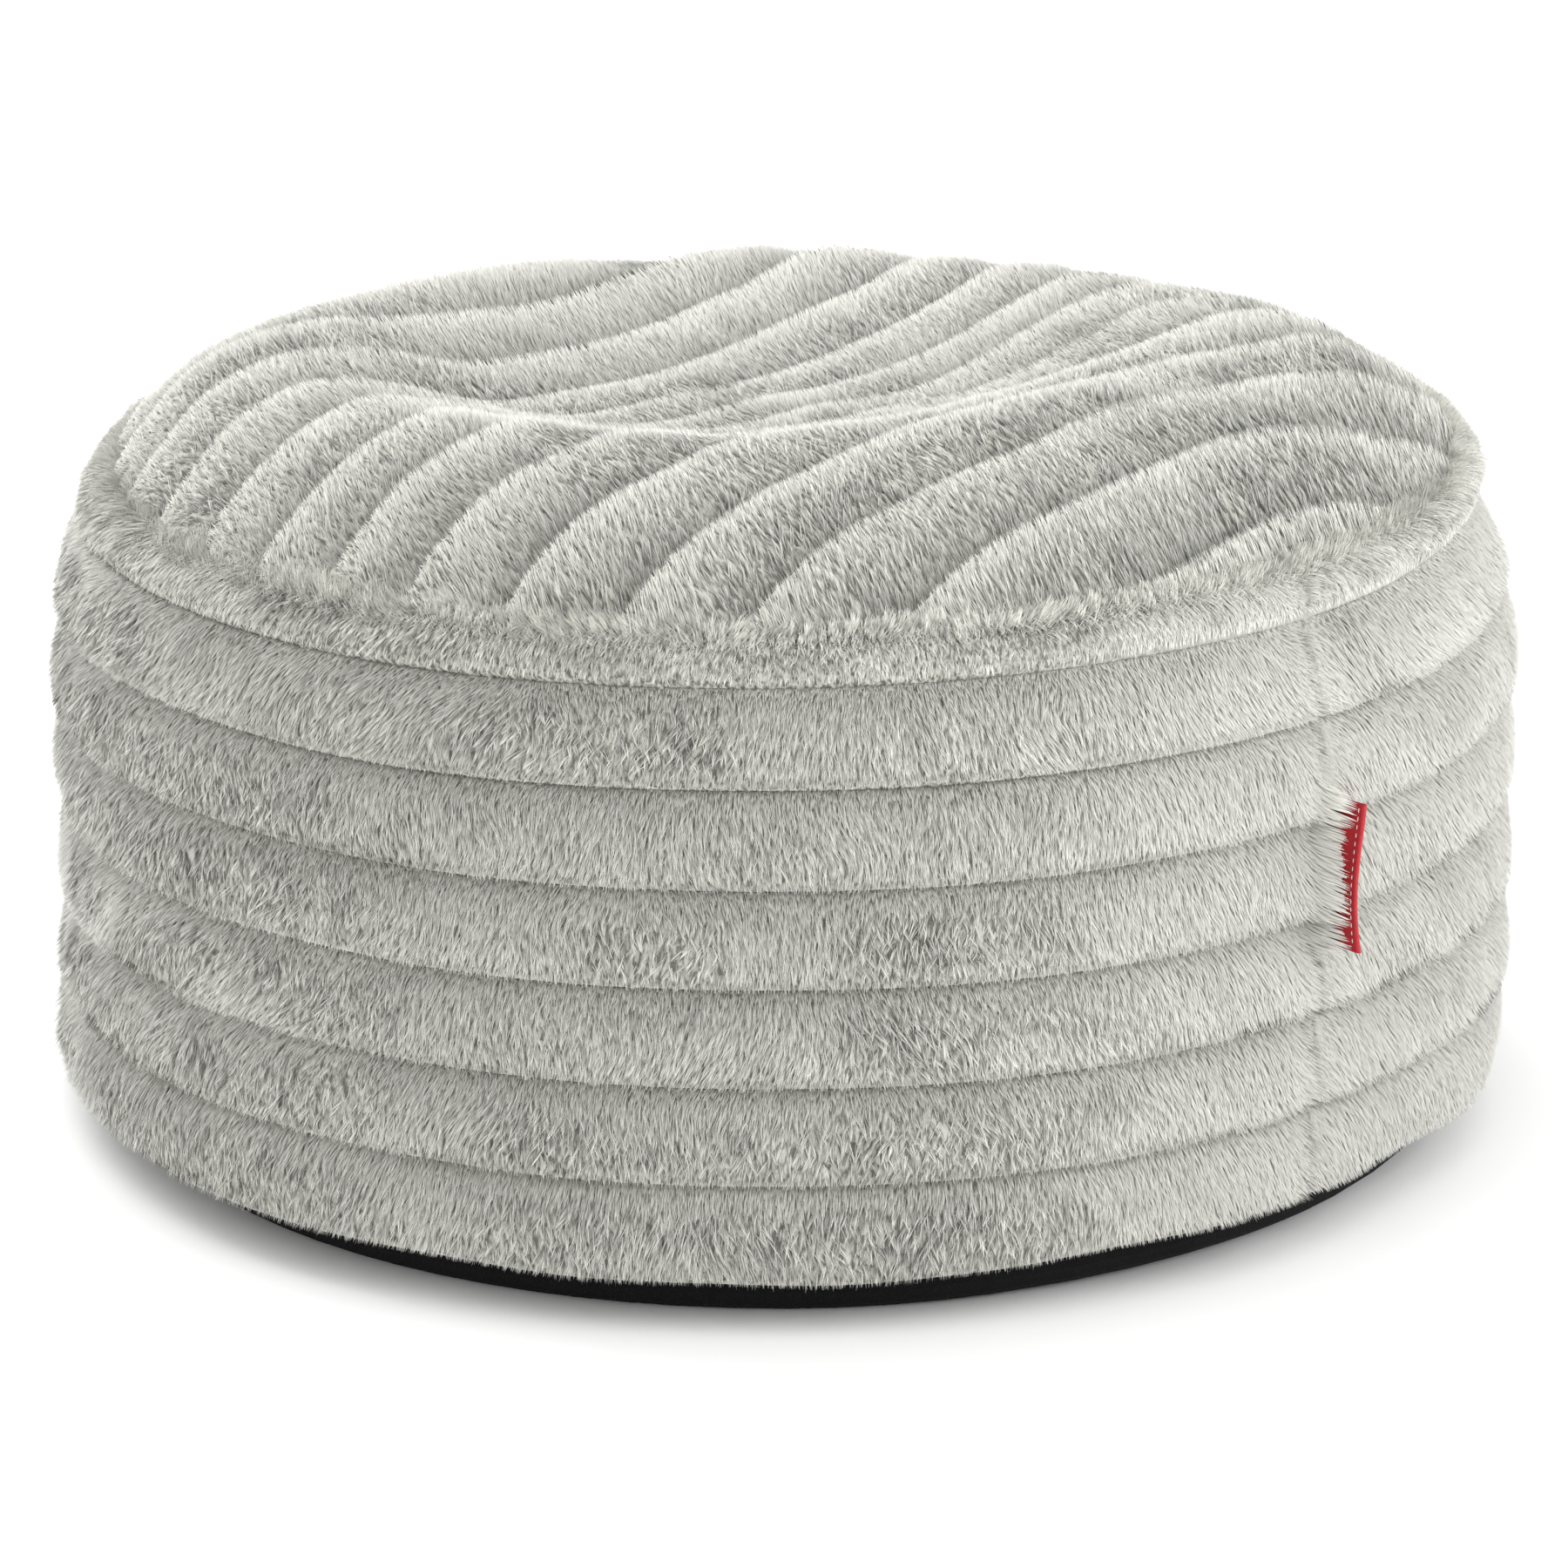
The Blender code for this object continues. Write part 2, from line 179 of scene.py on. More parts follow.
# Depths of the blades' tips under the pile's outer surface
TIP_DEPTH = 0.0003
GAP_DEPTH = 0.0022  # more between two locks
LAYER_DEPTH = 0.0010  # more in the lower ones of overlapping locks
STRAY_SHARE = 0.05  # of the blades that stand out of it
STRAY_HEIGHT = 0.0024

# Blades: length where the pile is tight, what loose pile adds, widths, and the stitches' marks by a groove
BLADE_LENGTH = 0.0028
BAND_STRAND = 0.0040
TOP_STRAND = 0.0018
BLADE_WIDTH = 0.00044
BLADE_WIDTH_SPREAD = 0.00024
COMB_PITCH = 0.0019

# Distances from the vertical seam: of its sideways flow, of its line of painted shade, and of the pile beside
# the label, which painted light lightens
SEAM_FLOW = 0.012
SEAM_LINE = 0.0022
LABEL_SIDE = 0.005
LABEL_CLEAR = 0.0014  # of the pile's blades from the label's middle plane

# How loose the pile is over one rib, and what is added to its tone, which is painted shade by the groove and
# painted highlight towards the rib's lit far edge: share of the rib's width, value
BAND_LOOSE = np.array(
    ((0.0, 0.0), (0.14, 0.0), (0.28, 0.5), (0.42, 1.0), (0.84, 1.0), (0.94, 0.2), (1.0, 0.2))
)
TOP_LOOSE = np.array(((0.0, 0.9), (0.5, 0.9), (0.75, 0.35), (0.9, 0.15), (1.0, 0.15)))
BAND_SHADE_AND_HIGHLIGHT = np.array(
    (
        (0.0, -0.40),
        (0.03, -0.30),
        (0.06, -0.14),
        (0.3, -0.07),
        (0.5, 0.0),
        (0.8, 0.06),
        (0.93, 0.16),
        (1.0, 0.14),
    )
)
TOP_SHADE_AND_HIGHLIGHT = np.array(
    (
        (0.0, -0.68),
        (0.03, -0.64),
        (0.09, -0.46),
        (0.16, -0.32),
        (0.35, -0.19),
        (0.6, -0.04),
        (0.8, 0.06),
        (0.93, 0.12),
        (1.0, 0.06),
    )
)

# The share of a rib's width where its pile ends: on the lowest rib, the uppermost, the others and the top's
HEM_LIMIT = 0.95
ROLL_LIMIT = 1.06
RIB_LIMIT = 0.995
TOP_LIMIT = 0.99

# The tufts over the top seam: the size of their locks and of their slow changes, and the blades' widths
TUFT_LOCK_WIDTH = 0.0032
TUFT_LOCK_LENGTH = 0.0040
TUFT_WAVE_SIZE = 0.020
TUFT_WANDER_SIZE = 0.030
TUFT_LENGTH = 0.0080
TUFT_LENGTH_SPREAD = 0.0024
TUFT_INNER_SHARE = 0.20  # of the blades that root on the top's side of the seam
TUFT_WIDTH = 0.00050
TUFT_WIDTH_SPREAD = 0.00028

# Rows of the tables behind the slow changes and the locks, in the direction across the ribs
FIELD_ROWS = 64
LOCK_ROWS = 256

# The camera that was fitted to the photograph, and the light of its white surroundings
FOCAL_PIXELS = 8653.2
PICTURE_PIXELS = 1800.0
SENSOR_WIDTH = 36.0
CAMERA_PLACE = (0.0, -3.0, 1.0824)
CAMERA_TILT = 0.30792  # downwards
WORLD_STRENGTH = 1.27
FLOOR_REACH = 9.0

# How one cloth's pile is laid. root_at and tip_at give the point over a place of a rib for a blade's two
# ends, and facing is the side of the plan that is outwards. looseness and tones are values over a rib, the
# tones being painted shade by the grooves and painted highlight at the ribs' lit edges, and strand is how
# much longer loose pile is.
Cloth = namedtuple("Cloth", "root_at tip_at facing seed looseness tones strand")


def smoothstep(value):
    value = np.clip(value, 0.0, 1.0)
    return value * value * (3.0 - 2.0 * value)


class Field:
    """Smooth random values over a plan that repeats every cells steps in its first direction."""

    def __init__(self, seed, step, length):
        self.cells = max(2, round(length / step))
        self.step_u = length / self.cells
        self.step_v = step
        self.table = np.random.default_rng(seed).random((self.cells, FIELD_ROWS))

    def __call__(self, u, v):
        u = u / self.step_u
        v = v / self.step_v
        iu = np.floor(u).astype(int)
        iv = np.floor(v).astype(int)
        fu = smoothstep(u - iu)
        fv = smoothstep(v - iv)
        u0, u1 = iu % self.cells, (iu + 1) % self.cells
        v0, v1 = iv % FIELD_ROWS, (iv + 1) % FIELD_ROWS
        low = self.table[u0, v0] * (1.0 - fu) + self.table[u1, v0] * fu
        high = self.table[u0, v1] * (1.0 - fu) + self.table[u1, v1] * fu
        return (low * (1.0 - fv) + high * fv) * 2.0 - 1.0


def curve_through(rows, column, at):
    """The height in one column of a table at first-column values, on a smooth curve through its rows."""
    place = rows[:, 0]
    level = rows[:, column]
    last = len(rows) - 1
    at = np.clip(at, place[0], place[last])
    start = np.clip(np.searchsorted(place, at, side="left") - 1, 0, last - 1)
    before = np.maximum(start - 1, 0)
    end = start + 1
    after = np.minimum(start + 2, last)
    span = place[end] - place[start]
    share = (at - place[start]) / span
    start_slope = (level[end] - level[before]) / (place[end] - place[before]) * span
    end_slope = (level[after] - level[start]) / (place[after] - place[start]) * span
    square = share * share
    cube = square * share
    return (
        (2.0 * cube - 3.0 * square + 1.0) * level[start]
        + (cube - 2.0 * square + share) * start_slope
        + (3.0 * square - 2.0 * cube) * level[end]
        + (cube - square) * end_slope
    )


def crown(x, y):
    """The height of the top panel's grooves."""
    inward = 1.0 - np.minimum(np.hypot(x, y) / SEAM_RADIUS, 1.0)
    from_x = x - HOLLOW_X * inward
    from_y = y - HOLLOW_Y * inward
    radius = np.hypot(from_x, from_y)
    facing = from_y / np.maximum(radius, 0.0003)
    front = smoothstep(-facing)
    back = smoothstep(facing)
    return (
        front * curve_through(CROWN_ROWS, 1, radius)
        + (1.0 - front - back) * curve_through(CROWN_ROWS, 2, radius)
        + back * curve_through(CROWN_ROWS, 3, radius)
    )


def seam_turn(azimuth):
    """The angle from the band's vertical seam, between minus and plus half a turn."""
    return np.remainder(azimuth - SEAM_AZIMUTH + math.pi, TAU) - math.pi


def seam_share(azimuth, radius):
    """How deep in the vertical seam's hollow a place is, from none to one."""
    beside = np.maximum(np.abs(seam_turn(azimuth)) * radius - SEAM_FLOOR, 0.0)
    return np.exp(-((beside / SEAM_SPREAD) ** 2))


def uneven(points):
    """Points moved by the stool's lean, lifted right side, pressed shoulder, sway and soft lumps."""
    x, y, z = points[..., 0], points[..., 1], points[..., 2]
    radius = np.hypot(x, y)
    azimuth = np.arctan2(y, x)
    outward = smoothstep((radius - LUMP_START) / LUMP_FADE)
    lump = sum(high * np.sin(waves * azimuth + start + upward * z) for high, waves, start, upward in LUMPS)
    press = PRESS * (0.5 + 0.5 * np.cos(azimuth - PRESS_AZIMUTH))
    press = press * smoothstep((z - PRESS_BOTTOM) / PRESS_FADE)
    scale = 1.0 + outward * (lump - press) / np.maximum(radius, 0.0003)
    lift = RIGHT_LIFT * smoothstep(x / RIGHT_LIFT_REACH)
    lift = lift * (1.0 - smoothstep(z / RIGHT_LIFT_HEIGHT))
    lift = lift * smoothstep((radius - STANDING_RADIUS) / (BASE_RIM_RADIUS - STANDING_RADIUS))
    lean = LEAN * x * z / LEAN_FULL_HEIGHT
    sway = SWAY * outward * (1.0 - smoothstep(z / SWAY_HEIGHT))
    return np.stack((x * scale - sway, y * scale, z + lean + lift), axis=-1)


bulges = Field(5, 0.055, BAND_LENGTH)
waver = Field(6, 0.090, BAND_LENGTH)


def turned(azimuth, radius, height, sink=1.0):
    """Points of the band at an azimuth, radius and height, sunk at the vertical seam and made uneven."""
    outward = smoothstep((radius - LUMP_START) / LUMP_FADE)
    sunk = seam_share(azimuth, radius) * outward * sink
    radius = radius - sunk * (SEAM_DEPTH + SEAM_FLATTENING * np.maximum(radius - GROOVE_RADIUS, 0.0))
    return uneven(np.stack((radius * np.cos(azimuth), radius * np.sin(azimuth), height), axis=-1))


def crest(share):
    """The pile's height at a share of a rib's width, as a share of the rib's full height."""
    return np.interp(share, CREST[:, 0], CREST[:, 1])


def pile_out(share, rib_height, narrow=0.0):
    """The height over the grooves of the pile's outer surface, which is a fuller roll on a narrow rib."""
    full = np.interp(share, ROLL_CREST[:, 0], ROLL_CREST[:, 1])
    return rib_height * (crest(share) + narrow * (full - crest(share)))


def skin_out(share, rib_height, narrow=0.0):
    """The height over the grooves of the surface under the pile."""
    return np.maximum(pile_out(share, rib_height, narrow) - SKIN_DEPTH, SKIN_LOWEST)


def by_label(height):
    """One at the label's height, falling to nothing above and below it."""
    return smoothstep((height - LABEL_BOTTOM) / 0.010 + 1.0) * smoothstep((LABEL_TOP - height) / 0.010 + 1.0)


def band_place(u, rib, share, out, sink=0.35):
    """A point of the band: u metres round it, at a share of a rib's width, out metres over the grooves."""
    upper = BAND_GROOVES[rib]
    lower = BAND_GROOVES[rib + 1]
    across = lower[..., 0] - upper[..., 0]
    down = lower[..., 1] - upper[..., 1]
    length = BAND_WIDTHS[rib]
    out = out * (1.0 + 0.16 * bulges(u, (rib + share) * RIB_PITCH))
    radius = upper[..., 0] + across * share
    height = upper[..., 1] + down * share
    over = np.stack((-down / length * out, across / length * out), axis=-1)
    shaped = over * (np.asarray(rib) > 0)[..., None]
    azimuth = u / GROOVE_RADIUS
    points = turned(azimuth, radius + shaped[..., 0], height + shaped[..., 1], sink)
    roll = over - shaped
    outwards = (roll[..., 0] * np.cos(azimuth), roll[..., 0] * np.sin(azimuth), roll[..., 1])
    return points + np.stack(outwards, axis=-1)


def band_tip(u, rib, share, out):
    """The same for a blade's tip, which stands out left of the vertical seam and swells by the label."""
    turn = seam_turn(u / GROOVE_RADIUS) * GROOVE_RADIUS
    beside = by_label(BAND_GROOVES[rib, 1] - share * RIB_PITCH) * (turn < 0.0)
    filled = 0.9 * beside * np.exp(-((turn / 0.007) ** 2))
    out = out + filled * np.maximum(RIB_HEIGHT * (1.0 - crest(share)), 0.0)
    out = out + 0.0055 * beside * np.exp(-((turn / 0.006) ** 2)) * (0.4 + 0.6 * crest(share))
    return band_place(u, rib, share, out, np.where(turn < 0.0, -0.10 - 0.90 * beside, 0.70))


def top_place(u, rib, share, out):
    """A point of the top: u metres along a rib, at a share of its width, out metres over the grooves."""
    place = TOP_RIB_OFFSET + (rib + share) * RIB_PITCH
    out = out * (1.0 + 0.22 * bulges(u, place + 1.5))
    place = place + 0.0050 * waver(u, place + 1.5)
    x = (u - TOP_START) * math.cos(TOP_RIB_ANGLE) - place * math.sin(TOP_RIB_ANGLE)
    y = (u - TOP_START) * math.sin(TOP_RIB_ANGLE) + place * math.cos(TOP_RIB_ANGLE)
    past = np.maximum(np.hypot(x, y) / (SEAM_RADIUS - 0.0008), 1.0)
    x, y = x / past, y / past
    flat = EDGE_FADE_SHARE * smoothstep((np.hypot(x, y) - SEAM_RADIUS) / EDGE_FADE + 1.0)
    return uneven(np.stack((x, y, crown(x, y) + (out - TOP_PRESSED) * (1.0 - flat)), axis=-1))


def unit(vectors):
    return vectors / np.maximum(np.linalg.norm(vectors, axis=-1, keepdims=True), 1e-12)


class Locks:
    """Scattered lock centres on such a plan as a Field's, each with a random number of its own."""

    def __init__(self, seed, step_u, step_v, length):
        self.cells = max(3, round(length / step_u))
        self.step_u = length / self.cells
        self.step_v = step_v
        rng = np.random.default_rng(seed)
        self.place = rng.random((self.cells, LOCK_ROWS, 2))
        self.number = rng.random((self.cells, LOCK_ROWS))

    def __call__(self, u, v):
        """The way to the nearest centre in steps, its distance and its random number."""
        u = u / self.step_u
        v = v / self.step_v
        iu = np.floor(u).astype(int)
        iv = np.floor(v).astype(int)
        best = np.full(u.shape, 9.0)
        du = np.zeros(u.shape)
        dv = np.zeros(u.shape)
        number = np.zeros(u.shape)
        for ou in (-1, 0, 1):
            for ov in (-1, 0, 1):
                cu, cv = (iu + ou) % self.cells, (iv + ov) % LOCK_ROWS
                to_u = iu + ou + self.place[cu, cv, 0] - u
                to_v = iv + ov + self.place[cu, cv, 1] - v
                apart = to_u * to_u + to_v * to_v
                nearer = apart < best
                best = np.where(nearer, apart, best)
                du = np.where(nearer, to_u, du)
                dv = np.where(nearer, to_v, dv)
                number = np.where(nearer, self.number[cu, cv], number)
        return du, dv, np.sqrt(best), number


def make_mesh(name, points, faces):
    """A mesh object from arrays of points and of faces that all have the same number of corners."""
    mesh = bpy.data.meshes.new(name)
    corners = faces.shape[1]
    mesh.vertices.add(len(points))
    mesh.vertices.foreach_set("co", np.ascontiguousarray(points, np.float32).ravel())
    mesh.loops.add(faces.size)
    mesh.loops.foreach_set("vertex_index", np.ascontiguousarray(faces, np.int32).ravel())
    mesh.polygons.add(len(faces))
    mesh.polygons.foreach_set("loop_start", np.arange(0, faces.size, corners, dtype=np.int32))
    mesh.update(calc_edges=True)
    mesh.validate()
    made = bpy.data.objects.new(name, mesh)
    bpy.context.scene.collection.objects.link(made)
    return made


def grid_object(name, points, material):
    """A band of quads through rows of points that each go once round."""
    rows, columns = points.shape[:2]
    index = np.arange(rows * columns).reshape(rows, columns)
    following = np.roll(index, -1, axis=1)
    faces = np.stack((index[:-1], index[1:], following[1:], following[:-1]), axis=-1).reshape(-1, 4)
    made = make_mesh(name, points.reshape(-1, 3), faces)
    made.data.shade_smooth()
    made.data.materials.append(material)
    return made


def store(mesh, label, values):
    stored = mesh.attributes.new(label, "FLOAT", "POINT")
    stored.data.foreach_set("value", np.ascontiguousarray(values, np.float32))


def blade_object(name, blades, chosen, material):
    """A piece of pile: one tapered triangle a blade, with its shading, its tone and its place along it."""
    root, tip, side, width, normal, tone, low = (values[chosen] for values in blades)
    count = len(root)
    half = side * (width / 2.0)[:, None]
    points = np.stack((root + half, root - half, tip), axis=1)
    faces = np.arange(count * 3).reshape(count, 3)
    made = make_mesh(name, points.reshape(-1, 3), faces)
    mesh = made.data
    shading = np.stack((normal + 0.30 * side, normal - 0.30 * side, normal), axis=1)
    mesh.shade_smooth()
    mesh.normals_split_custom_set_from_vertices(unit(shading).reshape(-1, 3).astype(np.float32))
    along = np.stack((low, low, np.ones(count)), axis=1).ravel()
    tones = np.repeat(tone, 3)
    store(mesh, "tone", tones)
    store(mesh, "along", along)
    places = np.stack((0.05 + 0.9 * tones + np.tile((-0.01, 0.01, 0.0), count), 0.02 + 0.96 * along), axis=-1)
    layer = mesh.uv_layers.new(name="OFBake")
    layer.data.foreach_set("uv", places.astype(np.float32).ravel())
    mesh.materials.append(material)
    return made


class Shader:
    """A new material with short ways to add nodes to it."""

    def __init__(self, name, roughness, specular):
        self.material = bpy.data.materials.new(name)
        self.material.use_nodes = True
        self.nodes = self.material.node_tree.nodes
        self.links = self.material.node_tree.links
        self.surface = self.nodes["Principled BSDF"]
        self.surface.inputs["Roughness"].default_value = roughness
        self.surface.inputs["Specular IOR Level"].default_value = specular

    def put(self, value, socket):
        if hasattr(value, "is_linked"):
            self.links.new(value, socket)
        else:
            socket.default_value = value

    def attribute(self, name):
        node = self.nodes.new("ShaderNodeAttribute")
        node.attribute_name = name
        return node.outputs["Fac"]

    def place(self):
        """The place in the object's own metres, as x, y and z."""
        place = self.nodes.new("ShaderNodeTexCoord")
        split = self.nodes.new("ShaderNodeSeparateXYZ")
        self.links.new(place.outputs["Object"], split.inputs[0])
        return split.outputs

    def sum_of(self, operation, first, second=0.0):
        node = self.nodes.new("ShaderNodeMath")
        node.operation = operation
        self.put(first, node.inputs[0])
        self.put(second, node.inputs[1])
        return node.outputs[0]

    def waves(self, value, pitch):
        return self.sum_of("SINE", self.sum_of("MULTIPLY", value, TAU / pitch))

    def noise(self, scale, detail=3.0):
        place = self.nodes.new("ShaderNodeTexCoord")
        node = self.nodes.new("ShaderNodeTexNoise")
        node.inputs["Scale"].default_value = scale
        node.inputs["Detail"].default_value = detail
        self.links.new(place.outputs["Object"], node.inputs["Vector"])
        return node.outputs["Fac"]

    def ramp(self, value, *stops):
        """Colours along a value, from (place, colour) stops."""
        node = self.nodes.new("ShaderNodeValToRGB")
        elements = node.color_ramp.elements
        while len(elements) < len(stops):
            elements.new(0.5)
        for element, (place, colour) in zip(elements, stops):
            element.position = place
            element.color = (*colour, 1.0)
        self.put(value, node.inputs["Fac"])
        return node.outputs["Color"]

    def scaled(self, value, low, high):
        node = self.nodes.new("ShaderNodeMapRange")
        node.inputs["To Min"].default_value = low
        node.inputs["To Max"].default_value = high
        self.put(value, node.inputs["Value"])
        return node.outputs["Result"]

    def blend(self, kind, share, first, second):
        node = self.nodes.new("ShaderNodeMix")
        node.data_type = "RGBA"
        node.blend_type = kind
        self.put(share, node.inputs["Factor"])
        self.put(first, node.inputs[6])
        self.put(second, node.inputs[7])
        return node.outputs[2]

    def bump(self, value, height):
        node = self.nodes.new("ShaderNodeBump")
        node.inputs["Distance"].default_value = height
        self.put(value, node.inputs["Height"])
        self.links.new(node.outputs["Normal"], self.surface.inputs["Normal"])

    def colour(self, value):
        self.put(value, self.surface.inputs["Base Color"])


def pile_material(name, root, tip):
    """Fur whose colour runs from a dark root, which is painted shade deep in the pile, to its light tip, and
    varies from blade to blade.
    """
    shader = Shader(name, 0.85, 0.2)
    length = shader.ramp(shader.attribute("along"), (0.0, root), (0.7, tip))
    shader.colour(shader.blend("MULTIPLY", 1.0, length, shader.scaled(shader.attribute("tone"), 0.25, 1.12)))
    shader.surface.inputs["Sheen Weight"].default_value = 0.25
    shader.surface.inputs["Sheen Roughness"].default_value = 0.5
    return shader.material


def under_material(name, dark, light, calm_light):
    """The short dense pile between the long one's roots, in short strokes along its nap, darker than the long
    pile's tips as painted shade in its depth, and lighter where the pile over it is calm.
    """
    shader = Shader(name, 1.0, 0.1)
    along_rib = shader.sum_of("MULTIPLY", shader.attribute("along_rib"), 620.0)
    over_rib = shader.sum_of("MULTIPLY", shader.attribute("over_rib"), 190.0)
    join = shader.nodes.new("ShaderNodeCombineXYZ")
    shader.put(along_rib, join.inputs[0])
    shader.put(over_rib, join.inputs[1])
    speckle = shader.nodes.new("ShaderNodeTexNoise")
    speckle.inputs["Scale"].default_value = 1.0
    speckle.inputs["Detail"].default_value = 3.0
    speckle.inputs["Distortion"].default_value = 0.6
    shader.put(join.outputs[0], speckle.inputs["Vector"])
    strokes = shader.ramp(speckle.outputs["Fac"], (0.38, dark), (0.62, light))
    shader.colour(shader.blend("MIX", shader.attribute("calm"), strokes, (*calm_light, 1.0)))
    shader.bump(speckle.outputs["Fac"], 0.0006)
    return shader.material


def weave_material(name, dark, light, pitch):
    """A plain weave: upright threads round the edge of the base, and a square weave under it."""
    shader = Shader(name, 0.85, 0.12)
    x, y, z = shader.place()
    round_it = shader.sum_of("MULTIPLY", shader.sum_of("ARCTAN2", y, x), BASE_RIM_RADIUS)
    edge = shader.sum_of("MULTIPLY", shader.waves(round_it, pitch), shader.waves(z, pitch * 1.6))
    flat = shader.sum_of("MULTIPLY", shader.waves(x, pitch), shader.waves(y, pitch))
    on_edge = shader.sum_of("GREATER_THAN", z, 0.0012)
    under_it = shader.sum_of("SUBTRACT", 1.0, on_edge)
    weave = shader.sum_of(
        "ADD", shader.sum_of("MULTIPLY", edge, on_edge), shader.sum_of("MULTIPLY", flat, under_it)
    )
    weave = shader.sum_of("MULTIPLY_ADD", weave, 0.5)
    weave.node.inputs[2].default_value = 0.5
    worn = shader.blend("MULTIPLY", 0.5, shader.ramp(weave, (0.0, dark), (1.0, light)), shader.noise(60.0))
    shader.colour(worn)
    shader.bump(weave, 0.00025)
    return shader.material


def tape_material(name, red, border, pitch):
    """Woven tape with a lighter edge at its fold."""
    shader = Shader(name, 0.6, 0.35)
    from_fold = shader.attribute("from_fold")
    z = shader.place()[2]
    weave = shader.sum_of("MULTIPLY", shader.waves(z, pitch), shader.waves(from_fold, pitch * 1.4))
    face = shader.ramp(shader.sum_of("MULTIPLY", from_fold, 100.0), (0.10, border), (0.14, red))
    worn = shader.ramp(shader.noise(700.0), (0.3, (0.55,) * 3), (0.7, (1.0,) * 3))
    shader.colour(shader.blend("MULTIPLY", 0.55, face, worn))
    shader.bump(weave, 0.00008)
    return shader.material


def thread_material(name, colour):
    """Twisted thread of one colour."""
    shader = Shader(name, 0.6, 0.3)
    twist = shader.noise(2500.0)
    shader.colour(shader.blend("MULTIPLY", 0.3, (*colour, 1.0), twist))
    shader.bump(twist, 0.00005)
    return shader.material


def finished(piece, slot_name, *nodes):
    """A piece that rides the part's one body, with its slot name, which is not used, and the nodes that it
    replaces, if any.
    """
    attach(piece, "root")
    if nodes:
        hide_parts(*nodes)
    return piece


def pile(rng, cloth, u, v, rib, share, rib_width, rib_height, limit, seam, painted_shade, calm, keep):
    """A ribbed cloth's blades: roots, tips, sides, widths, normals, tones, and where their colour starts.

    u runs along the ribs and v across them. The pile ends at the share limit, and seam is one at the vertical
    seam, where it flows sideways. The argument after seam adds painted shade, at the seam's line and in the
    top's hollow, or below zero painted light beside the label, where it also widens the blades. calm makes it
    smoother, and keep holds a distance along the ribs on its side of the label.
    """
    count = len(u)
    root_at, tip_at, seed = cloth.root_at, cloth.tip_at, cloth.seed
    sway_far = Field(seed, STREAM_SIZES[0], BAND_LENGTH)
    sway_near = Field(seed + 1, STREAM_SIZES[1], BAND_LENGTH)

    def stream(at_u, at_v):
        return at_u + STREAM_SHIFTS[0] * sway_far(at_u, at_v) + STREAM_SHIFTS[1] * sway_near(at_u, at_v)

    # How loose, patchy and bunched the pile is at each blade, and the lock that the blade belongs to
    here = stream(u, v)
    slope_u = np.maximum((stream(u + STREAM_STEP, v) - here) / STREAM_STEP, 0.35)
    slope_v = (stream(u, v + STREAM_STEP) - here) / STREAM_STEP
    narrow = (rib_width < NARROW_RIB) * np.ones(count)
    calm = calm * (1.0 - 0.45 * narrow)
    loose = np.interp(share, cloth.looseness[:, 0], cloth.looseness[:, 1])
    loose = np.maximum(loose, 0.9 * narrow)
    patch = smoothstep(0.5 + 0.9 * Field(seed + 2, PATCH_SIZE, BAND_LENGTH)(u, v) - calm)
    rough = 1.0 - 0.85 * calm
    clump = loose * (0.30 + 0.70 * patch) * rough
    to_u, to_v, apart, number = Locks(seed + 3, LOCK_WIDTH, LOCK_LENGTH, BAND_LENGTH)(here, v)

    # Tips, drawn together in their locks
    pull = (0.10 + 0.75 * clump) * (1.0 - 0.7 * seam)
    tip_u = keep(u, u + to_u * LOCK_WIDTH * pull / slope_u, rib, share)
    tip_v = v + to_v * LOCK_LENGTH * pull * 0.35
    tip_share = share + (tip_v - v) / rib_width
    ragged = 0.010 * Field(seed + 4, RAGGED_SIZE, BAND_LENGTH)(u, v) + 0.005 * rng.standard_normal(count)
    ragged = ragged * np.where(limit < 0.98, 4.0, 1.0)  # more so at the hem
    tip_share = np.clip(tip_share * limit, 0.004, limit + ragged)
    soft = Field(seed + 5, SWELL_SIZE, BAND_LENGTH)
    raised = SWELL_HEIGHT * loose * (1.0 - 0.6 * calm)
    swell = raised * soft(u, v)
    swell_u = (raised * soft(u + SWELL_STEP, v) - swell) / SWELL_STEP
    swell_v = (raised * soft(u, v + SWELL_STEP) - swell) / SWELL_STEP
    gap = clump * np.clip(apart / 0.62, 0.0, 1.0) ** 2
    layer = LAYER_DEPTH * clump * (number * 3.31 % 1.0)
    depth = TIP_DEPTH + GAP_DEPTH * gap + layer - swell + rng.random(count) * (0.0003 + 0.0005 * clump)
    depth = np.minimum(depth, SKIN_DEPTH - 0.0004)
    stray = rng.random(count) < STRAY_SHARE * rough
    depth = np.where(stray, -STRAY_HEIGHT * rng.random(count) * (0.3 + 0.7 * loose), depth)
    level = pile_out(tip_share, rib_height, narrow)
    tip = tip_at(tip_u, rib, tip_share, np.maximum(level - depth, TIP_DEPTH))

    # The pile's outer surface at the tips: the ways down the rib, around it and out of it
    low_share = np.clip(tip_share - SHARE_STEP, 0.0, 0.92)
    high_share = np.clip(tip_share + SHARE_STEP, SHARE_STEP, 1.1)
    low = tip_at(tip_u, rib, low_share, pile_out(low_share, rib_height, narrow))
    high = tip_at(tip_u, rib, high_share, pile_out(high_share, rib_height, narrow))
    ahead = keep(u, tip_u + AROUND_STEP, rib, share)
    behind = keep(u, tip_u - AROUND_STEP, rib, share)
    down = unit(high - low)
    around = unit(tip_at(ahead, rib, tip_share, level) - tip_at(behind, rib, tip_share, level))
    normal = unit(np.cross(down, around)) * cloth.facing

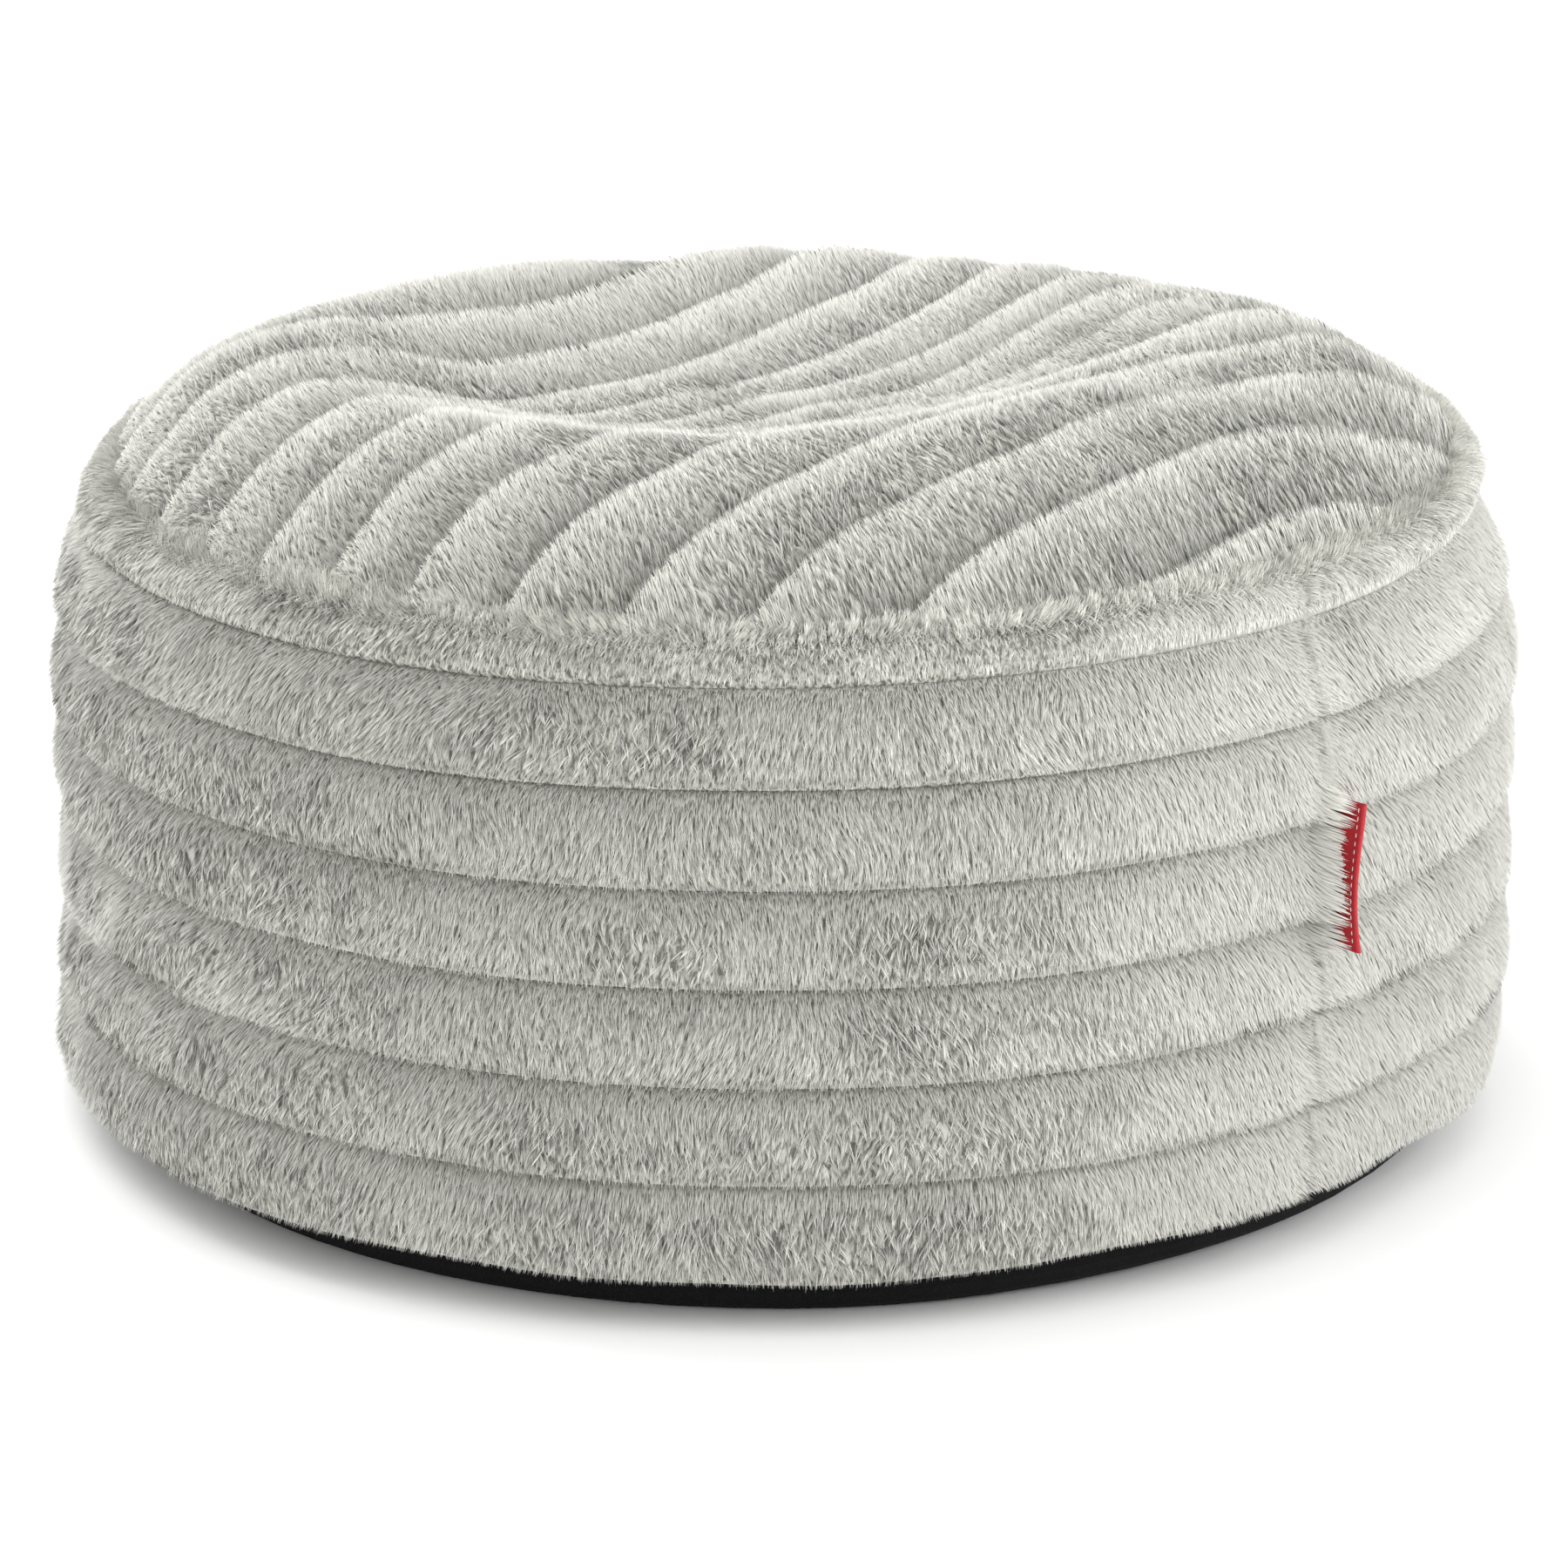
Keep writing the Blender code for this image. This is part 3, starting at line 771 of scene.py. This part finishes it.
    # Roots, back along the nap, which follows the stream
    flow = np.clip(-slope_v / slope_u, -1.0, 1.0) * (1.0 - 0.5 * calm) + 0.8 * seam
    flow = flow * (1.0 - 0.8 * narrow) + 1.6 * clump * (number * 7.13 % 1.0 - 0.5) * (1.0 - 0.5 * narrow)
    flow_length = np.hypot(flow, 1.0)
    fan = rng.normal(0.0, 0.15 + 0.20 * seam, count)
    reach = (BLADE_LENGTH + cloth.strand * loose) * (0.75 + 0.5 * rng.random(count)) * (1.0 - 0.5 * seam)
    back_u = reach * (flow / flow_length + fan)
    back_v = reach / flow_length
    root_share = np.maximum(tip_share - back_v / rib_width, 0.004)
    cut = np.clip((tip_share - root_share) * rib_width / np.maximum(back_v, 1e-6), 0.0, 1.0)
    root_u = keep(u, tip_u - back_u * (0.4 + 0.6 * cut), rib, share)
    root_out = np.maximum(pile_out(root_share, rib_height, narrow) - ROOT_DEPTH, SKIN_LOWEST)
    root = root_at(root_u, rib, root_share, root_out)
    side = unit(np.cross(normal, tip - root))
    roll = rng.normal(0.0, 0.40, count) * rough
    side = unit(side * np.cos(roll)[:, None] + normal * np.sin(roll)[:, None])
    by_seam = 1.0 - 0.45 * seam + 1.2 * np.maximum(-painted_shade, 0.0)
    width = (BLADE_WIDTH + BLADE_WIDTH_SPREAD * rng.random(count)) * (1.0 + 0.9 * calm) * by_seam

    # Shading, which leans with the lock and the swell, and tone, into which shade and highlight are painted
    lean_u = -to_u * (0.05 + 2.0 * clump) - 1.5 * swell_u
    lean_v = -to_v * (0.05 + 1.5 * clump) - 1.5 * swell_v
    shading = unit(normal + around * lean_u[:, None] + down * lean_v[:, None])
    comb = np.exp(-((share / 0.06) ** 2))
    # Less tone where the pile is calm: painted shade, which offsets the strong light on the band's right side
    tone = 0.71 - 0.14 * calm + 0.12 * narrow + (0.16 + 0.30 * (number - 0.5)) * clump
    tone = tone + rng.normal(0.0, 0.10, count) * rough
    # Painted shade by the groove and painted highlight at the rib's lit edge
    over_rib = np.interp(share, cloth.tones[:, 0], cloth.tones[:, 1])
    # Much darker between locks: painted shade in the gaps
    tone = tone - 1.05 * gap + over_rib * (1.0 - 0.3 * calm) * (1.0 - 0.4 * narrow)
    # Painted shade along the vertical seam's line and in the top's hollow; below zero, painted light beside
    # the label
    tone = tone - 0.35 * painted_shade
    tone = tone + (0.16 + 0.09 * cloth.facing) * comb * np.sin(TAU * here / COMB_PITCH)
    # The dark root colour, painted shade deep in the pile, starts further along the blade where the pile is
    # calm and at the seam
    return root, tip, side, width, shading, np.clip(tone, 0.0, 1.0), np.maximum(0.40 * calm, 0.6 * seam)


def band_calm(u):
    """The share of the pile that is brushed smooth, on the band's right side."""
    return smoothstep((np.cos(u / GROOVE_RADIUS + math.radians(10.0)) - 0.36) / 0.50)


def top_calm(y):
    """The share of the pile that is brushed smooth, on the top's far side."""
    return 0.5 * smoothstep(y / 0.20)


def store_nap(skin, along_rib, over_rib, calm):
    """The places that the under-pile's strokes follow, and how smooth the pile over it is."""
    store(skin.data, "along_rib", along_rib)
    store(skin.data, "over_rib", over_rib)
    store(skin.data, "calm", calm)


def own_side(u, at_u, rib, share):
    """Distances round the band, kept on u's own side of the label at its height."""
    turn = seam_turn(u / GROOVE_RADIUS) * GROOVE_RADIUS
    held = by_label(BAND_GROOVES[rib, 1] - share * RIB_PITCH) > 0.05
    at_turn = turn + at_u - u
    clear = np.where(turn < 0.0, np.minimum(at_turn, -LABEL_CLEAR), np.maximum(at_turn, LABEL_CLEAR))
    return np.where(held & (np.abs(turn) < 0.05), u + clear - turn, at_u)


def band_blades(count):
    """The band's pile, and how far round the band each blade is."""
    rng = np.random.default_rng(11)
    share_of_ribs = np.cumsum(BAND_WIDTHS * np.array((1.3, 1.0, 1.0, 1.0, 1.0, 1.0, 1.05)))
    rib = np.searchsorted(share_of_ribs / share_of_ribs[-1], rng.random(count), side="right")
    share = rng.random(count)
    u = rng.random(count) * BAND_LENGTH
    start = np.concatenate(((0.0,), np.cumsum(BAND_WIDTHS)[:-1]))
    v = start[rib] + share * BAND_WIDTHS[rib]
    height = BAND_GROOVES[rib, 2]
    limit = np.where(rib == BAND_RIBS - 1, HEM_LIMIT, np.where(rib == 0, ROLL_LIMIT, RIB_LIMIT))
    turn = seam_turn(u / GROOVE_RADIUS) * GROOVE_RADIUS
    seam = np.exp(-((turn / SEAM_FLOW) ** 2))
    beside = by_label(BAND_GROOVES[rib, 1] - share * RIB_PITCH)
    # Painted light on the pile left of the label, where the label shades it, and painted shade along the
    # seam's line
    raised = 0.8 * beside * np.exp(-((turn / LABEL_SIDE) ** 2)) * (turn < 0.0)
    painted_shade = np.exp(-((turn / SEAM_LINE) ** 2)) * (1.0 - beside) - raised
    cloth = Cloth(band_place, band_tip, 1.0, 41, BAND_LOOSE, BAND_SHADE_AND_HIGHLIGHT, BAND_STRAND)
    place = (u, v, rib, share, BAND_WIDTHS[rib], height)
    return pile(rng, cloth, *place, limit, seam, painted_shade, band_calm(u), own_side), u


def as_given(u, at_u, rib, share):
    """Distances along the top's ribs, which have no label to keep clear of."""
    return at_u


def top_blades(count):
    """The top's pile, with painted shade in the hollow, and how far round the stool each blade is."""
    rng = np.random.default_rng(13)
    radius = np.sqrt(rng.random(count)) * (SEAM_RADIUS - 0.0010)
    azimuth = rng.random(count) * TAU
    x, y = radius * np.cos(azimuth), radius * np.sin(azimuth)
    u = x * math.cos(TOP_RIB_ANGLE) + y * math.sin(TOP_RIB_ANGLE) + TOP_START
    v = y * math.cos(TOP_RIB_ANGLE) - x * math.sin(TOP_RIB_ANGLE) - TOP_RIB_OFFSET
    rib = np.floor(v / RIB_PITCH).astype(int)
    share = v / RIB_PITCH - rib
    # Painted shade in the hollow; elsewhere slightly below zero, a little lighter and wider
    shade = 0.30 * np.exp(-((x - HOLLOW_X) ** 2 + (y - HOLLOW_Y) ** 2) / 0.11**2) - 0.06
    cloth = Cloth(top_place, top_place, -1.0, 141, TOP_LOOSE, TOP_SHADE_AND_HIGHLIGHT, TOP_STRAND)
    place = (u, v + 0.6, rib, share, RIB_PITCH, TOP_PILE_HEIGHT)
    blades = pile(rng, cloth, *place, TOP_LIMIT, 0.0, shade, top_calm(y), as_given)
    return blades, azimuth * GROOVE_RADIUS


def seam_tufts(count):
    """The pile that stands up over the top seam, with an outer and an inner face to each blade."""
    rng = np.random.default_rng(17)
    u = rng.random(count) * BAND_LENGTH
    inner = rng.random(count) < TUFT_INNER_SHARE
    share = 0.45 * rng.random(count) ** 1.3
    locks = Locks(71, TUFT_LOCK_WIDTH, TUFT_LOCK_LENGTH, BAND_LENGTH)
    to_u, _, apart, number = locks(u, share * BAND_WIDTHS[0])
    wave = Field(72, TUFT_WAVE_SIZE, BAND_LENGTH)(u, share * 0.0)
    wander = Field(73, TUFT_WANDER_SIZE, BAND_LENGTH)(u, share * 0.017)
    length = TUFT_LENGTH + TUFT_LENGTH_SPREAD * wave
    length = length * (0.65 + 0.45 * number) * (0.75 + 0.4 * rng.random(count))
    length = length * (1.0 - 1.1 * share)
    azimuth = u / GROOVE_RADIUS
    root = band_place(u, np.zeros(count, int), share, pile_out(share, BAND_GROOVES[0, 2], 1.0) - ROOT_DEPTH)
    radius = ROLL_RADIUS + 0.0010 - share * 0.015
    x, y = radius * np.cos(azimuth), radius * np.sin(azimuth)
    root = np.where(inner[:, None], uneven(np.stack((x, y, crown(x, y) + 0.0004), axis=-1)), root)
    outward = np.stack((np.cos(azimuth), np.sin(azimuth), np.zeros(count)), axis=-1)
    around = np.stack((-np.sin(azimuth), np.cos(azimuth), np.zeros(count)), axis=-1)
    upward = np.array((0.0, 0.0, 1.0))
    backwards = smoothstep((np.sin(azimuth) + 0.55) / 0.5)
    wild = 1.0 - 0.75 * band_calm(u)
    tilt = -0.10 + 2.6 * share + 0.35 * rng.standard_normal(count) + 0.8 * (number * 5.7 % 1.0 - 0.5)
    tilt = np.where(inner, -0.20 - 0.8 * share + 0.25 * rng.standard_normal(count), tilt) + 0.9 * backwards
    tilt = np.maximum(tilt, 0.6 - 1.6 * wild)
    turn = (0.80 * wander + 0.16 * rng.standard_normal(count)) * wild
    way = upward * np.cos(tilt)[:, None] + outward * np.sin(tilt)[:, None] + around * turn[:, None]
    tip = root + unit(way) * length[:, None] + around * (to_u * TUFT_LOCK_WIDTH * 0.6)[:, None]
    outer_side = outward * np.cos(tilt)[:, None] - upward * np.sin(tilt)[:, None]
    side = unit(np.cross(outer_side, tip - root))
    lean = around * (-0.8 * to_u)[:, None]
    outer = unit(outer_side + outward + 0.7 * upward + lean)
    upper = unit(upward + 0.25 * outward - outer_side + lean)
    width = TUFT_WIDTH + TUFT_WIDTH_SPREAD * rng.random(count)
    tone = 0.80 + 0.10 * band_calm(u) + 0.26 * (number - 0.5) + 0.14 * rng.standard_normal(count)
    # Darker between the tufts' locks: painted shade in the gaps
    tone = tone - 0.45 * np.clip(apart / 0.6, 0.0, 1.0) ** 2
    # The inner faces are lighter: painted light where the key light does not reach them
    tones = (np.clip(tone, 0.0, 1.0), np.clip(tone + 0.2, 0.0, 1.0))
    behind = 0.00008 * outer_side
    low = 0.45 + 0.45 * band_calm(u)
    faces = (
        (root, tip, side, width, outer, tones[0], low),
        (root - behind, tip - behind, -side, width, upper, tones[1], low),
    )
    return tuple(np.concatenate(pair) for pair in zip(*faces)), np.concatenate((u, u))


def make_band_skin(material):
    """The cloth under the band's pile, closed by the tray and the underside."""
    around = np.linspace(0.0, BAND_LENGTH, 361)[:-1]
    ring = np.ones(len(around))
    azimuths = around / GROOVE_RADIUS
    rows = [turned(azimuths, ring * radius, ring * TRAY_FLOOR) for radius in (0.01, SEAM_RADIUS)]
    for rib in range(BAND_RIBS):
        for share in SKIN_SHARES[3 if rib == 0 else 0 :]:
            out = skin_out(share, BAND_GROOVES[rib, 2], rib == 0)
            rows.append(band_place(around, np.full(len(around), rib), share, out * ring))
    rows.append(turned(azimuths, ring * (HEM_RADIUS - 0.0010), ring * HEM_HEIGHT))
    rows.append(turned(azimuths, ring * BASE_RIM_RADIUS, ring * UNDERSIDE))
    rows.append(turned(azimuths, ring * 0.01, ring * UNDERSIDE))
    made = grid_object("band_under_pile", np.array(rows), material)
    from_right = np.abs(np.remainder(azimuths + math.pi, TAU) - math.pi)
    along_rib = np.tile(GROOVE_RADIUS * 0.9 * from_right, len(rows))
    over_rib = np.repeat(np.arange(len(rows)) * 0.0055, len(around))
    store_nap(made, along_rib, over_rib, np.tile(band_calm(around), len(rows)))
    return made


def make_top_skin(material):
    """The cloth under the top's pile, in rows along its ribs that end in a skirt down to the tray."""
    reach = SEAM_RADIUS - 0.0010
    first = math.floor((-reach - TOP_RIB_OFFSET) / RIB_PITCH)
    places = [
        (rib, share)
        for rib in range(first, -first + 1)
        for share in SKIN_SHARES
        if abs(TOP_RIB_OFFSET + (rib + share) * RIB_PITCH) < reach
    ]
    columns = np.linspace(-1.0, 1.0, 80)
    rows = []
    for rib, share in places:
        half = math.sqrt(reach**2 - (TOP_RIB_OFFSET + (rib + share) * RIB_PITCH) ** 2)
        row = top_place(TOP_START + half * columns, rib, share, skin_out(share, TOP_PILE_HEIGHT))
        low = row[[0, -1]].copy()
        low[:, 2] = TRAY_FLOOR + 0.0005 + LEAN * low[:, 0] * TRAY_FLOOR / LEAN_FULL_HEIGHT
        rows.append(np.concatenate((low[:1], row, low[1:])))
    points = np.array(rows)
    index = np.arange(points.shape[0] * points.shape[1]).reshape(points.shape[:2])
    faces = np.stack((index[:-1, :-1], index[:-1, 1:], index[1:, 1:], index[1:, :-1]), axis=-1).reshape(-1, 4)
    made = make_mesh("top_under_pile", points.reshape(-1, 3), faces)
    made.data.shade_smooth()
    made.data.materials.append(material)
    x, y = points[..., 0].ravel(), points[..., 1].ravel()
    along_rib = x * math.cos(TOP_RIB_ANGLE) + y * math.sin(TOP_RIB_ANGLE)
    over_rib = y * math.cos(TOP_RIB_ANGLE) - x * math.sin(TOP_RIB_ANGLE)
    store_nap(made, along_rib, over_rib, top_calm(y))
    return made


def tape_place(out, across, z):
    """A point of the label: out from the stool's middle along the seam, across the tape, and its height."""
    share = (LABEL_TOP - z) / (LABEL_TOP - LABEL_BOTTOM)
    outer = np.clip((out - LABEL_ROOT) / (LABEL_REACH - LABEL_ROOT), 0.0, 1.0)
    across = across - LABEL_BEND * np.sin(math.pi * np.clip(share, 0.0, 1.0) ** 1.25) * outer * outer
    along = np.array((math.cos(SEAM_AZIMUTH), math.sin(SEAM_AZIMUTH)))
    x = along[0] * out - along[1] * across
    y = along[1] * out + along[0] * across
    return uneven(np.stack((x, y, z), axis=-1))


def make_label(material):
    """The folded tape: a closed sheet, its two root edges inside the pile and its fold outwards."""
    half = LABEL_HALF_WIDTH - LABEL_WALL / 2.0
    centre = LABEL_REACH - LABEL_HALF_WIDTH
    straight = np.linspace(LABEL_ROOT, centre, 9)[:-1]
    turn = np.linspace(0.0, math.pi, 11)
    out = np.concatenate((straight, centre + half * np.sin(turn), straight[::-1]))
    across = np.concatenate((straight * 0.0 - half, -half * np.cos(turn), straight * 0.0 + half))
    away_out = np.concatenate((straight * 0.0, np.sin(turn), straight * 0.0))
    away_across = np.concatenate((straight * 0.0 - 1.0, -np.cos(turn), straight * 0.0 + 1.0))
    wall = LABEL_WALL / 2.0
    section_out = np.concatenate((out + wall * away_out, (out - wall * away_out)[::-1]))
    section_across = np.concatenate((across + wall * away_across, (across - wall * away_across)[::-1]))
    count = len(section_out)
    heights = np.linspace(LABEL_TOP, LABEL_BOTTOM, 61)
    ring = np.ones(count)
    points = np.array([tape_place(section_out, section_across, z * ring) for z in heights])
    index = np.arange(len(heights) * count).reshape(len(heights), count)
    following = np.roll(index, -1, axis=1)
    sides = np.stack((index[:-1], index[1:], following[1:], following[:-1]), axis=-1).reshape(-1, 4)
    first = np.arange(count // 2 - 1)
    cap = np.stack((first, first + 1, count - 2 - first, count - 1 - first), axis=-1)
    faces = np.concatenate((sides, cap, (cap + index[-1, 0])[:, ::-1]))
    label = make_mesh("tape_label", points.reshape(-1, 3), faces)
    label.data.shade_smooth()
    store(label.data, "from_fold", np.tile(LABEL_REACH - section_out, len(heights)))
    label.data.materials.append(material)
    return label


def make_stitches(material):
    """A running stitch on both faces of the label, along its fold and a short way back at its bottom."""
    pitch, length, radius = 0.0033, 0.0019, 0.00023
    line = LABEL_REACH - 0.0029
    low = LABEL_BOTTOM + 0.0022
    ends = [(line, z, line, z - length) for z in np.arange(LABEL_TOP - 0.0015, low + length, -pitch)]
    ends += [(line - at, low, line - at - length, low) for at in np.arange(0.0006, 0.0072, pitch)]
    turns = np.linspace(0.0, TAU, 7)[:-1]
    shares = np.array((0.0, 0.15, 0.5, 0.85, 1.0))
    fat = np.array((0.05, 0.75, 1.0, 0.75, 0.05))
    points, faces = [], []
    for face in (-1.0, 1.0):
        for out_0, z_0, out_1, z_1 in ends:
            start = len(points) * len(turns)
            for share, thick in zip(shares, fat):
                out = out_0 + (out_1 - out_0) * share
                z = z_0 + (z_1 - z_0) * share
                upright = abs(z_1 - z_0) > abs(out_1 - out_0)
                over = radius * thick * np.cos(turns)
                beside = radius * thick * np.sin(turns)
                across = face * (LABEL_HALF_WIDTH + over)
                points.append(tape_place(out + beside * upright, across, z + beside * (not upright)))
            for ring in range(len(shares) - 1):
                for corner in range(len(turns)):
                    after = (corner + 1) % len(turns)
                    a = start + ring * len(turns)
                    b = a + len(turns)
                    faces.append((a + corner, a + after, b + after, b + corner))
    made = make_mesh("label_stitches", np.concatenate(points), np.array(faces))
    made.data.shade_smooth()
    made.data.materials.append(material)
    return made


# The under-pile's dark colours are painted shade deep in the pile
under = under_material("under_pile", (0.13, 0.129, 0.115), (0.50, 0.497, 0.448), (0.42, 0.418, 0.385))
fur = pile_material("pile", (0.28, 0.277, 0.246), (0.80, 0.798, 0.738))
band_skin = finished(make_band_skin(under), "band_fur", "side_band")
top_skin = finished(make_top_skin(under), "top_fur", "top_panel")

for made_by, count, parts, name, slot_name in (
    (band_blades, BAND_BLADES, BAND_PARTS, "band_pile", "band_fur"),
    (top_blades, TOP_BLADES, TOP_PARTS, "top_pile", "top_fur"),
    (seam_tufts, TUFT_BLADES, 1, "seam_tufts", "band_fur"),
):
    blades, around = made_by(count)
    part = np.floor(around % BAND_LENGTH / BAND_LENGTH * parts).astype(int)
    for number in range(parts):
        piece_name = f"{name}_{number + 1}" if parts > 1 else name
        finished(blade_object(piece_name, blades, part == number, fur), slot_name)

tape = tape_material("tape", (0.40, 0.008, 0.014), (0.53, 0.028, 0.036), 0.0006)
finished(make_label(tape), "tape_red", "label")
finished(make_stitches(thread_material("thread", (0.85, 0.83, 0.80))), "tape_red")
weave = weave_material("woven_base", (0.002, 0.002, 0.0022), (0.014, 0.014, 0.015), 0.0011)
for material_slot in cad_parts["base_panel"].material_slots:
    material_slot.material = weave

# Floor, light and camera
floor_corners = np.array(((-1.0, -1.0, 0.0), (1.0, -1.0, 0.0), (1.0, 1.0, 0.0), (-1.0, 1.0, 0.0)))
floor = make_mesh("floor", FLOOR_REACH * floor_corners, np.array(((0, 1, 2, 3),)))
floor_white = Shader("floor_white", 0.9, 0.2)
floor_white.colour((0.90, 0.90, 0.90, 1.0))
floor.data.materials.append(floor_white.material)

world = bpy.data.worlds.new("studio")
bpy.context.scene.world = world
world.use_nodes = True
world.node_tree.nodes["Background"].inputs["Color"].default_value = (1.0, 1.0, 1.0, 1.0)
world.node_tree.nodes["Background"].inputs["Strength"].default_value = WORLD_STRENGTH


def area_light(name, place, target, size, power):
    """A rectangle of light that faces a target."""
    light = bpy.data.lights.new(name, "AREA")
    light.shape = "RECTANGLE"
    light.size, light.size_y = size
    light.energy = power
    made = bpy.data.objects.new(name, light)
    bpy.context.scene.collection.objects.link(made)
    made.location = place
    away = np.array(place) - np.array(target)
    made.rotation_euler = (math.acos(away[2] / np.linalg.norm(away)), 0.0, math.atan2(away[0], -away[1]))


area_light("key", (-1.7, 1.7, 2.6), (0.0, 0.0, 0.2), (2.4, 2.4), 68.0)
area_light("fill", (2.6, -1.2, 1.5), (0.0, 0.0, 0.15), (2.2, 2.2), 50.0)

camera = bpy.data.cameras.new("camera")
camera.sensor_width = SENSOR_WIDTH
camera.lens = FOCAL_PIXELS / PICTURE_PIXELS * SENSOR_WIDTH
camera.clip_end = 100.0
viewer = bpy.data.objects.new("camera", camera)
bpy.context.scene.collection.objects.link(viewer)
viewer.location = CAMERA_PLACE
viewer.rotation_euler = (math.pi / 2.0 - CAMERA_TILT, 0.0, 0.0)
bpy.context.scene.camera = viewer
bpy.context.scene.view_settings.view_transform = "Standard"
